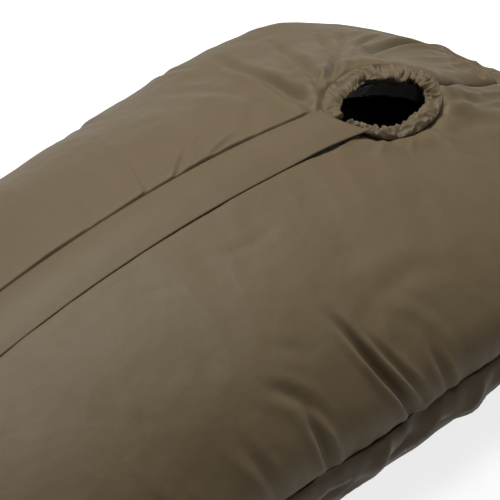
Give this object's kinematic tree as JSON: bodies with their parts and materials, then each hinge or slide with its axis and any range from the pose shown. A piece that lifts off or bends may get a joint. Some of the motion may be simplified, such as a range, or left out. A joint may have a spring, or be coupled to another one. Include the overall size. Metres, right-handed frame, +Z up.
{
  "type": "mummy sleeping bag",
  "caption": "Lofted mummy sleeping bag laid flat on its back, with a gathered face opening and a centre zip under a storm flap that folds open.",
  "frame": {"origin": "on the ground under the middle of the bag, half way from crown to foot", "axes": "+X towards the head, +Z up out of the zipped face, -Y the side that the flap's free edge points to"},
  "size_m": [2.15, 0.836, 0.435],
  "materials": {
    "shell_fabric": "satin microfibre, olive brown",
    "base_fabric": "satin microfibre, slightly darker olive brown",
    "wadding": "hollow-fibre filling",
    "liner_fabric": "black quilted lining",
    "zip_tape_weave": "woven tape",
    "zip_coil_nylon": "nylon coil",
    "zip_metal": "dull nickel grey",
    "hook_and_loop": "hook and loop pile",
    "drawcord_braid": "braided elastic cord"
  },
  "bodies": {
    "bag": {"front_shell_left": "shell_fabric", "front_shell_right": "shell_fabric", "base_shell": "base_fabric", "foot_shell": "base_fabric", "front_batt_left_chest": "wadding", "front_batt_right_chest": "wadding", "base_batt_chest": "wadding", "front_batt_left_leg": "wadding", "front_batt_right_leg": "wadding", "base_batt_leg": "wadding", "foot_batt": "wadding", "front_liner_left": "liner_fabric", "front_liner_right": "liner_fabric", "base_liner": "liner_fabric", "foot_liner": "liner_fabric", "draught_tube": "liner_fabric", "hood_hem_casing": "shell_fabric", "hood_drawcord": "drawcord_braid", "zip_tape_left": "zip_tape_weave", "zip_tape_right": "zip_tape_weave", "zip_coil_left": "zip_coil_nylon", "zip_coil_right": "zip_coil_nylon", "zip_top_stop_left": "zip_metal", "zip_top_stop_right": "zip_metal", "zip_bottom_stop": "zip_metal", "zip_flap": "shell_fabric", "flap_loop_tape": "hook_and_loop"},
    "slider": {"zip_slider": "zip_metal"},
    "pull_outer": {"zip_pull_outer": "zip_metal"},
    "pull_inner": {"zip_pull_inner": "zip_metal"},
    "flap_top": {"zip_flap_tab": "shell_fabric", "flap_hook_tape": "hook_and_loop"}
  },
  "joints": [
    {"name": "slider_travel", "type": "hinge", "parent": "bag", "child": "slider", "pos_m": [0.095, 0, -1.836], "axis": [0, -1, 0], "range_deg": [0, 27.1]},
    {"name": "outer_pull_hinge", "type": "hinge", "parent": "slider", "child": "pull_outer", "pos_m": [0.59807, 0, 0.36761], "axis": [0, 1, 0], "range_deg": [0, 10]},
    {"name": "inner_pull_hinge", "type": "hinge", "parent": "slider", "child": "pull_inner", "pos_m": [0.59549, 0, 0.3563], "axis": [0, -1, 0], "range_deg": [0, 60]},
    {"name": "flap_fold", "type": "hinge", "parent": "bag", "child": "flap_top", "pos_m": [0.43608, 0.046, 0.39913], "axis": [-0.9886, 0, 0.1509], "range_deg": [0, 150]}
  ]
}
